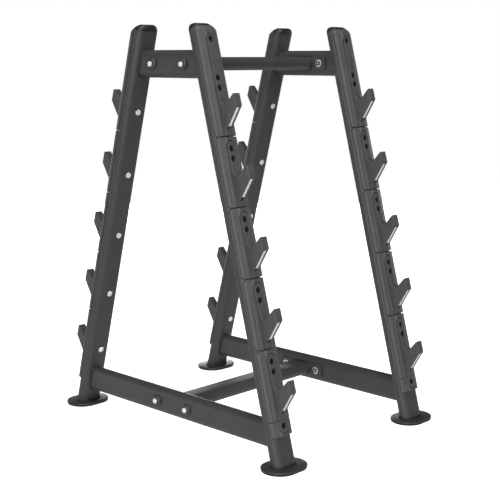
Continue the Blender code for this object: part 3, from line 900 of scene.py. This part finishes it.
def makeCoverMesh(tier):
    tip = hookSizes["tips"][tier]
    isLowest = tier == len(hookSizes["tips"]) - 1
    lowGap = layout["gap"] if isLowest else coverSizes["jointGap"] / 2
    lowJoint = tip + coverSizes["jointAboveTip"] - hookSizes["pitch"] + lowGap
    highJoint = tip + coverSizes["jointAboveTip"] - coverSizes["jointGap"] / 2
    isTop = tier == 0
    archAt = coverSizes["topArch"] if isTop else tip + coverSizes["archAboveTip"]
    highEnd = domedEnd if isTop else plainEnd(highJoint, 1, coverSizes["cornerDrop"])
    creaseTop = tip + coverSizes["creaseAboveTip"]
    # level, share of the groove that is cut, share of the crease
    groove = [
        (lowJoint + 6 * mm, 1, 0), (lowJoint + 9 * mm, 1, 1), (creaseTop, 1, 1), (creaseTop + 10 * mm, 1, 0.25),
        (archAt, 1, 0), (archAt + 2 * mm, 0, 0),
    ]
    lowEnd = plainEnd(lowJoint, -1, coverSizes["faintDrop" if isLowest else "cornerDrop"])
    body = makeCoverBody(lowEnd, highEnd, groove, capSteps=7 if isTop else 2)
    overrun = coverSizes["channelOverrun"]
    high = coverSizes["channelTop"] if isTop else highJoint + overrun
    tools = [("UNION", makeFinger(tip)), ("DIFFERENCE", makeChannelCutter(lowJoint - overrun, high))]
    tools.append(("DIFFERENCE", makeSlotCutter(tip)))
    tools.append(("DIFFERENCE", makeArchCutter(archAt, 1, coverSizes["archDepth"])))
    for s in screwPlaces(tier):
        tools.append(("DIFFERENCE", makeShankCutter(s)))
        tools.append(("DIFFERENCE", makeBoreCutter(s)))
    return applyCuts(body, tools, 34)


def makeEndPieceMesh():
    highJoint = hookSizes["tips"][-1] + coverSizes["jointAboveTip"] - hookSizes["pitch"] - 0.4 * mm
    arch, depth = coverSizes["lowArch"], coverSizes["lowGroove"]
    groove = [(arch - 3 * mm, 0, 0), (arch, depth, 0), (highJoint - 12 * mm, depth, 0)]
    body = makeCoverBody(levelEnd, plainEnd(highJoint, 1, coverSizes["faintDrop"]), groove)
    tools = [("DIFFERENCE", makeChannelCutter(arch - 5 * mm, highJoint + coverSizes["channelOverrun"]))]
    tools.append(("DIFFERENCE", makeArchCutter(arch, -1, coverSizes["lowArchDepth"])))
    tools.append(("DIFFERENCE", makeShankCutter(screwSizes["lowScrew"])))
    tools.append(("DIFFERENCE", makeBoreCutter(screwSizes["lowScrew"])))
    return applyCuts(body, tools, 34)


def makeUprightsAndCovers():
    upright = makeUprightMesh()
    cap = makeCapMesh()
    endPiece = makeEndPieceMesh()
    covers = [makeCoverMesh(tier) for tier in range(len(hookSizes["tips"]))]
    for side in sides:
        for end in ends:
            tag = f"{side}_{end}"
            matrix = uprightMatrix(side, end)
            addPiece(
                f"uprightTube_{tag}", upright, charcoalPowderCoat, matrix, [f"upright_{tag}"],
            )
            addPiece(f"roundedCap_{tag}", cap, capNylon, matrix, [f"top_cap_{tag}"])
            lowest = addPiece(
                f"coverEnd_{tag}", endPiece, charcoalNylon, matrix, [f"cover_end_{tag}"],
            )
            addWeightedNormals(lowest)
            for tier, mesh in enumerate(covers, start=1):
                cover = addPiece(
                    f"hookCover_{tag}_{tier}", mesh, charcoalNylon, matrix,
                    [f"hook_cover_{tag}_{tier}"],
                )
                addWeightedNormals(cover)
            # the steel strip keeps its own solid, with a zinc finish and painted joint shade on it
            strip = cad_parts[f"hook_strip_{tag}"]
            strip.data.materials.clear()
            strip.data.materials.append(stripZincWithJointShade)


makeUprightsAndCovers()
print("stage 3: uprights, caps and hook covers made")


hookBoltSizes = {
    "headFlats": 21 * mm,
    "headHeight": 6 * mm,
    "washerRadius": 12 * mm,
    "washerHeight": 1.6 * mm,
    "shankRadius": 5 * mm,
}


def makeHexBolt(sizes, shankLength, matrix):
    head = hexBody(sizes["headFlats"], sizes["headHeight"], 1.1 * mm)
    shank = roundRod(sizes["shankRadius"], shankLength, Matrix.Translation((0, 0, 0.5 * mm - shankLength)))
    mesh = applyCuts(head, [("UNION", shank)], 20)
    mesh.transform(matrix)
    return mesh


def makeWasher(outer, inner, height, matrix):
    edge = 0.35 * mm
    rows = [
        (inner, 0), (outer, 0), (outer, height - edge), (outer - edge, height), (inner, height),
    ]
    return turned(rows, matrix)


def addHookBolts():
    sizes = hookBoltSizes
    face = tubeSizes["thickness"] / 2
    bolts = []
    washers = []
    for tip in hookSizes["tips"]:
        s = tip - hookSizes["boltDrop"]
        # z points inwards, away from the tube
        inwards = Matrix.Translation((-face - layout["gap"], 0, s)) @ Matrix.Rotation(-math.pi / 2, 4, "Y")
        bore = sizes["shankRadius"] + 0.4 * mm
        washers.append(makeWasher(sizes["washerRadius"], bore, sizes["washerHeight"], inwards))
        seat = Matrix.Translation((0, 0, sizes["washerHeight"] + layout["gap"]))
        length = tubeSizes["thickness"] + sizes["washerHeight"] + 6.5 * mm
        bolts.append(makeHexBolt(sizes, length, inwards @ seat))
    boltMesh = joined(bolts)
    washerMesh = joined(washers)
    for side in sides:
        for end in ends:
            matrix = uprightMatrix(side, end)
            addPiece(f"hookBolts_{side}_{end}", boltMesh, brightZinc, matrix)
            addPiece(f"hookBoltWashers_{side}_{end}", washerMesh, blackOxideWithBoreShade, matrix)


def makeCoverScrew(s):
    sizes = screwSizes
    floor = fingerSizes["crown"] - sizes["boreDepth"] + layout["gap"]
    rows = [
        (0.01 * mm, 0), (sizes["headRadius"], 0), (sizes["headRadius"], sizes["headHeight"] * 0.6),
        (sizes["headRadius"] * 0.86, sizes["headHeight"]), (0.01 * mm, sizes["headHeight"]),
    ]
    head = turned(rows, steps=24)
    socket = hexBody(sizes["socketFlats"], sizes["headHeight"], 0.1 * mm, start=sizes["headHeight"] * 0.4)
    length = floor - tubeSizes["thickness"] / 2 - 0.5 * mm
    shank = roundRod(sizes["shankRadius"], length, Matrix.Translation((0, 0, 0.5 * mm - length)), 16)
    mesh = applyCuts(head, [("UNION", shank), ("DIFFERENCE", socket)], 25)
    mesh.transform(outwards(floor, s))
    return mesh


def addCoverScrews():
    places = [s for tier in range(len(hookSizes["tips"])) for s in screwPlaces(tier)]
    mesh = joined([makeCoverScrew(s) for s in places + [screwSizes["lowScrew"]]])
    for side in sides:
        for end in ends:
            addPiece(f"coverScrews_{side}_{end}", mesh, blackOxideWithBoreShade, uprightMatrix(side, end))


addHookBolts()
addCoverScrews()
print("stage 4: hook bolts and cover screws made")


beamBoltSizes = {
    "offset": 83 * mm,
    "cupRadius": 21.5 * mm,
    "cupFaceRadius": 13 * mm,
    "cupHeight": 11 * mm,
    "headFlats": 18 * mm,
    "headHeight": 5 * mm,  # above the cup
    "washerRadius": 14.5 * mm,
    "washerHeight": 2.6 * mm,
    "nutHeight": 6 * mm,
    "nutFlats": 17 * mm,
    "shankRadius": 6 * mm,
}
flangeSizes = {
    "width": 226 * mm,
    "height": 50 * mm,
    "thickness": 8 * mm,
    "corner": 4 * mm,
    "bevel": 1 * mm,
}


# where the uprights' inner faces stand at this height
def innerFaceX(z):
    lean = layout["lean"]
    return layout["footX"] - z * math.tan(lean) - tubeSizes["thickness"] / 2 / math.cos(lean)


def makeCrossbarMesh(z):
    def ring(inset, sign):
        row = []
        for p in ovalAt(inset):
            reach = innerFaceX(z + p.y) - layout["gap"] / math.cos(layout["lean"])
            row.append(Vector((sign * reach, p.x, p.y)))
        return row

    bm = bmesh.new()
    wall = tubeSizes["wall"]
    loft(bm, [ring(0, -1), ring(0, 1), ring(wall, 1), ring(wall, -1)], closedRow=True, capEnds=False)
    mesh = makeMesh("crossbarTube", bm)
    holes = []
    for x in (-beamBoltSizes["offset"], beamBoltSizes["offset"]):
        start = Matrix.Translation((x, tubeSizes["thickness"], 0)) @ Matrix.Rotation(math.pi / 2, 4, "X")
        radius = beamBoltSizes["shankRadius"] + 0.4 * mm
        holes.append(("DIFFERENCE", roundRod(radius, 2 * tubeSizes["thickness"], start)))
    return applyCuts(mesh, holes)


def makeFlangeMesh():
    x, z = flangeSizes["width"] / 2, flangeSizes["height"] / 2
    outline = roundedPath([(a, b, flangeSizes["corner"]) for a, b in ((x, z), (-x, z), (-x, -z), (x, -z))])
    bevel = flangeSizes["bevel"]
    thick = flangeSizes["thickness"]
    bm = bmesh.new()
    rings = []
    for inset, y in ((bevel, 0), (bevel * 0.3, bevel * 0.3), (0, bevel), (0, thick - bevel),
                     (bevel * 0.3, thick - bevel * 0.3), (bevel, thick)):
        rings.append([Vector((p.x, y, p.y)) for p in shifted(outline, inset)])
    loft(bm, rings)
    mesh = makeMesh("flange", bm)
    holes = []
    for x in (-beamBoltSizes["offset"], beamBoltSizes["offset"]):
        start = Matrix.Translation((x, 3 * thick, 0)) @ Matrix.Rotation(math.pi / 2, 4, "X")
        holes.append(("DIFFERENCE", roundRod(beamBoltSizes["shankRadius"] + 0.4 * mm, 6 * thick, start)))
    return applyCuts(mesh, holes)


def makeBeamMesh(reach):
    def ring(inset, y):
        return [Vector((p.y, y, p.x)) for p in ovalAt(inset)]

    bm = bmesh.new()
    wall = tubeSizes["wall"]
    rings = [ring(0, -reach), ring(0, reach), ring(wall, reach), ring(wall, -reach)]
    loft(bm, rings, closedRow=True, capEnds=False)
    return makeMesh("beamTube", bm)


weldSizes = {
    "tubeBead": 3.3 * mm,
    "footBead": 4.8 * mm,
    "ripple": 0.4 * mm,
    "ripplePitch": 5 * mm,
    "step": 1.6 * mm,
}


# a rippled bead of weld along a closed path of (point, outward, up)
def makeWeldMesh(path, size):
    sizes = weldSizes
    dense = []
    travelled = 0.0
    for (a, outA, upA), (b, outB, upB) in zip(path, path[1:] + path[:1]):
        length = (b - a).length
        count = max(1, round(length / sizes["step"]))
        for k in range(count):
            share = k / count
            outward = outA.lerp(outB, share).normalized()
            up = upA.lerp(upB, share).normalized()
            dense.append((a.lerp(b, share), outward, up, travelled + length * share))
        travelled += length
    rings = []
    for point, outward, up, along in dense:
        wave = math.sin(2 * math.pi * along / sizes["ripplePitch"])
        radius = size + sizes["ripple"] * wave
        ring = []
        for angle in range(0, 360, 36):
            turn = math.radians(angle)
            ring.append(point + outward * (radius * math.cos(turn)) + up * (radius * math.sin(turn)))
        rings.append(ring)
    bm = bmesh.new()
    loft(bm, rings, capEnds=False, closedRow=True)
    return makeMesh("weld", bm, 60)


def footWeldPath():
    path = []
    lean = layout["lean"]
    up = Vector((math.sin(lean), 0, math.cos(lean)))
    outline = ovalAt(0)
    for p, q in zip(outline, shifted(outline, -1 * mm)):
        outward = Vector((q.x - p.x, q.y - p.y, 0)).normalized()
        point = Vector((p.x, p.y, levelOnUpright(p.x, layout["plateTop"])))
        path.append((point, outward, up))
    return path


def crossbarWeldPath(z, sign):
    path = []
    lean = layout["lean"]
    outline = ovalAt(0)
    for p, q in zip(outline, shifted(outline, -1 * mm)):
        outward = Vector((0, q.x - p.x, q.y - p.y)).normalized()
        along = Vector((-sign * math.cos(lean), 0, -math.sin(lean)))
        path.append((Vector((sign * innerFaceX(z + p.y), p.x, p.y)), outward, along))
    return path


def beamWeldPath(reach, sign):
    path = []
    outline = ovalAt(0)
    for p, q in zip(outline, shifted(outline, -1 * mm)):
        outward = Vector((q.y - p.y, 0, q.x - p.x)).normalized()
        path.append((Vector((p.y, sign * reach, p.x)), outward, Vector((0, -sign, 0))))
    return path


def addCrossbarsAndBeams():
    flange = makeFlangeMesh()
    inner = layout["frameY"] - tubeSizes["thickness"] / 2 - layout["gap"]
    beamReach = inner - flangeSizes["thickness"]
    beam = makeBeamMesh(beamReach)
    beamWelds = joined([makeWeldMesh(beamWeldPath(beamReach, sign), weldSizes["tubeBead"]) for sign in (-1, 1)])
    for level, z in levels.items():
        crossbar = makeCrossbarMesh(z)
        welds = joined([makeWeldMesh(crossbarWeldPath(z, sign), weldSizes["tubeBead"]) for sign in (-1, 1)])
        spot = Matrix.Translation((0, 0, z))
        addPiece(f"beamTube_{level}", beam, charcoalPowderCoat, spot, [f"beam_{level}"])
        addPiece(f"beamWelds_{level}", beamWelds, weldWithPaintedShade, spot)
        for end, sign in ends.items():
            middle = Matrix.Translation((0, sign * layout["frameY"], z))
            addPiece(
                f"crossbarTube_{level}_{end}", crossbar, charcoalPowderCoat, middle,
                [f"crossbar_{level}_{end}"],
            )
            addPiece(f"crossbarWelds_{level}_{end}", welds, weldWithPaintedShade, middle)
            turn = Matrix.Rotation(math.pi if sign > 0 else 0, 4, "Z")
            seat = Matrix.Translation((0, sign * inner, z))
            addPiece(f"beamFlange_{level}_{end}", flange, charcoalPowderCoat, seat @ turn)


addCrossbarsAndBeams()
print("stage 5: crossbars, beams, flanges and welds made")


def makeCupMesh():
    sizes = beamBoltSizes
    bore = sizes["shankRadius"] + 0.4 * mm
    dome = []
    for i in range(7):
        share = i / 6
        radius = sizes["cupRadius"] + (sizes["cupFaceRadius"] - sizes["cupRadius"]) * share ** 1.6
        dome.append((radius, 1.2 * mm + (sizes["cupHeight"] - 1.2 * mm) * math.sin(share * math.pi / 2)))
    rows = [(bore, 0), (sizes["cupRadius"], 0)] + dome
    rows += [(sizes["cupFaceRadius"] - 1.2 * mm, sizes["cupHeight"]), (bore, sizes["cupHeight"] - 0.4 * mm)]
    return turned(rows, steps=40)


def addBeamFasteners():
    sizes = beamBoltSizes
    cup = makeCupMesh()
    cup.transform(Matrix.Translation((0, 0, layout["gap"])))
    through = tubeSizes["thickness"] + flangeSizes["thickness"] + 3 * layout["gap"]
    headSeat = sizes["cupHeight"] + 2 * layout["gap"]
    shankLength = headSeat + through + sizes["washerHeight"] + sizes["nutHeight"] - 3 * mm
    bolt = makeHexBolt(sizes, shankLength, Matrix.Translation((0, 0, headSeat)))
    washerAt = -through - sizes["washerHeight"]
    bore = sizes["shankRadius"] + 0.4 * mm
    washerSeat = Matrix.Translation((0, 0, washerAt))
    washer = makeWasher(sizes["washerRadius"], bore, sizes["washerHeight"], washerSeat)
    nutBody = hexBody(sizes["nutFlats"], sizes["nutHeight"], 1 * mm, Matrix.Rotation(math.pi, 4, "X"))
    nutHole = roundRod(bore, 3 * sizes["nutHeight"], Matrix.Translation((0, 0, -2 * sizes["nutHeight"])))
    nut = applyCuts(nutBody, [("DIFFERENCE", nutHole)], 20)
    nut.transform(Matrix.Translation((0, 0, washerAt - layout["gap"])))
    for level, z in levels.items():
        for end, sign in ends.items():
            for side, across in sides.items():
                tag = f"{level}_{end}_{side}"
                face = sign * (layout["frameY"] + tubeSizes["thickness"] / 2)
                turn = Matrix.Rotation(-sign * math.pi / 2, 4, "X")
                spot = Matrix.Translation((across * sizes["offset"], face, z)) @ turn
                addPiece(f"beamBolt_{tag}", bolt, brightZinc, spot, [f"beam_bolt_{tag}"])
                addPiece(f"beamCup_{tag}", cup, paintedCup, spot)
                addPiece(f"beamWasher_{tag}", washer, brightZinc, spot)
                addPiece(f"beamNut_{tag}", nut, blackOxideWithBoreShade, spot)


addBeamFasteners()
print("stage 6: beam bolts, cups, washers and nuts made")


footSizes = {
    "width": 134 * mm,
    "length": 180 * mm,
    "plateRounding": 3.4 * mm,
    "padInset": 2 * mm,
    "padRounding": 1.5 * mm,
    "arcSteps": 32,
}


# a flat plate with rounded rims
def makeSlab(outline, low, high, rounding, steps=4):
    rim = roundedRim(rounding, steps)
    rows = [(inset, low + away) for inset, away in rim]
    rows += [(inset, high - away) for inset, away in reversed(rim)]
    rings = [[Vector((p.x, p.y, z)) for p in shifted(outline, inset)] for inset, z in rows]
    bm = bmesh.new()
    loft(bm, rings)
    return makeMesh("slab", bm, 42)


def addFeet():
    sizes = footSizes
    plate = makeSlab(
        flatOval(sizes["width"], sizes["length"], sizes["arcSteps"]),
        layout["plateBottom"], layout["plateTop"], sizes["plateRounding"],
    )
    inset = 2 * sizes["padInset"]
    pad = makeSlab(
        flatOval(sizes["width"] - inset, sizes["length"] - inset, sizes["arcSteps"]),
        0, layout["plateBottom"] - layout["gap"], sizes["padRounding"],
    )
    weld = makeWeldMesh(footWeldPath(), weldSizes["footBead"])
    for side, across in sides.items():
        for end, along in ends.items():
            tag = f"{side}_{end}"
            spot = Matrix.Translation((across * layout["footX"], along * layout["frameY"], 0))
            addPiece(f"footPlate_{tag}", plate, footPowderCoat, spot, [f"foot_plate_{tag}"])
            addPiece(f"footPad_{tag}", pad, blackRubber, spot, [f"foot_pad_{tag}"])
            addPiece(f"footWeld_{tag}", weld, weldWithPaintedShade, uprightMatrix(side, end))


addFeet()
print("stage 7: feet made")

studio = {
    "floorRadius": 9.0,
    "azimuth": 44.15,
    "elevation": 9.87,
    "distance": 4.390,
    "target": Vector((0.0140, 0.0136, 0.658)),
    "lens": 79.94,
    "lights": {
        # azimuth, elevation, distance, width and height in metres, watts
        "keySoftbox": (80, 28, 7.5, 3.6, 3.0, 230),
        "fillSoftbox": (28, 6, 4.8, 2.0, 2.0, 100),
        "highSoftbox": (8, 50, 4.6, 2.0, 1.6, 50),
        "topSoftbox": (44, 80, 3.4, 2.2, 2.2, 45),
        "backSoftbox": (262, 4, 6.5, 2.2, 1.6, 80),
        "rearSoftbox": (176, 4, 6.5, 2.2, 1.6, 70),
        "lowSoftbox": (225, 0, 6.5, 2.6, 1.2, 90),
        "sideCard": (-44, -3, 4.6, 1.2, 1.2, 18),
    },
    "floorBounce": (5.0, 50),  # width in metres, watts
    "roomLight": 0.06,
    "backgroundHex": "#ffffff",
    "paperHexes": ("#f6f6f5", "#fafaf9"),
    "paperGlow": 0.96,
}


# a round sheet, wide enough to end beyond every view
def makeFloor():
    bm = bmesh.new()
    bmesh.ops.create_circle(bm, cap_ends=True, segments=96, radius=studio["floorRadius"])
    return makeMesh("floor", bm)


# the paper is a stage only: it takes the shadows, and throws no light back on the rack
floor = bpy.data.objects.new("paperFloor", makeFloor())
floor.data.materials.append(makePaper("whitePaper", *studio["paperHexes"], studio["paperGlow"]))
floor.visible_diffuse = False
floor.visible_glossy = False
bpy.context.scene.collection.objects.link(floor)


def addSoftbox(name, azimuth, elevation, distance, width, height, watts):
    light = bpy.data.lights.new(name, "AREA")
    light.shape = "RECTANGLE"
    light.size = width
    light.size_y = height
    light.energy = watts
    lamp = bpy.data.objects.new(name, light)
    bpy.context.scene.collection.objects.link(lamp)
    a, e = math.radians(azimuth), math.radians(elevation)
    away = Vector((math.sin(a) * math.cos(e), -math.cos(a) * math.cos(e), math.sin(e)))
    lamp.location = Vector((0, 0, 0.75)) + away * distance
    lamp.rotation_euler = (-away).to_track_quat("-Z", "Y").to_euler()
    lamp.visible_camera = False
    return lamp


for name, values in studio["lights"].items():
    addSoftbox(name, *values)

# what the white floor throws back up
bounceWidth, bounceWatts = studio["floorBounce"]
bounce = addSoftbox("floorBounce", 0, 90, 1.0, bounceWidth, bounceWidth, bounceWatts)
bounce.location = (0, 0, 2 * mm)
bounce.rotation_euler = (math.pi, 0, 0)


# the room is white to look at and dim as a light, so the rack's sides fall off into shade
def makeWorld():
    world = bpy.data.worlds.new("studioRoom")
    world.use_nodes = True
    world.node_tree.nodes.clear()
    seen = addNode(world, "ShaderNodeLightPath")
    level = addNode(
        world, "ShaderNodeMapRange", Value=(seen, "Is Camera Ray"), To_Min=studio["roomLight"], To_Max=1.0,
    )
    background = addNode(
        world, "ShaderNodeBackground", Color=toLinear(studio["backgroundHex"]), Strength=(level, "Result"),
    )
    addNode(world, "ShaderNodeOutputWorld", Surface=(background, "Background"))
    return world


bpy.context.scene.world = makeWorld()
bpy.context.scene.view_settings.view_transform = "Standard"

cameraData = bpy.data.cameras.new("threeQuarterView")
cameraData.sensor_width = 36
cameraData.lens = studio["lens"]
camera = bpy.data.objects.new("threeQuarterView", cameraData)
bpy.context.scene.collection.objects.link(camera)
azimuth, elevation = math.radians(studio["azimuth"]), math.radians(studio["elevation"])
towards = Vector((
    math.sin(azimuth) * math.cos(elevation), -math.cos(azimuth) * math.cos(elevation), math.sin(elevation),
))
camera.location = studio["target"] + towards * studio["distance"]
camera.rotation_euler = (-towards).to_track_quat("-Z", "Y").to_euler()
bpy.context.scene.camera = camera
print("stage 8: studio, lights and camera set")
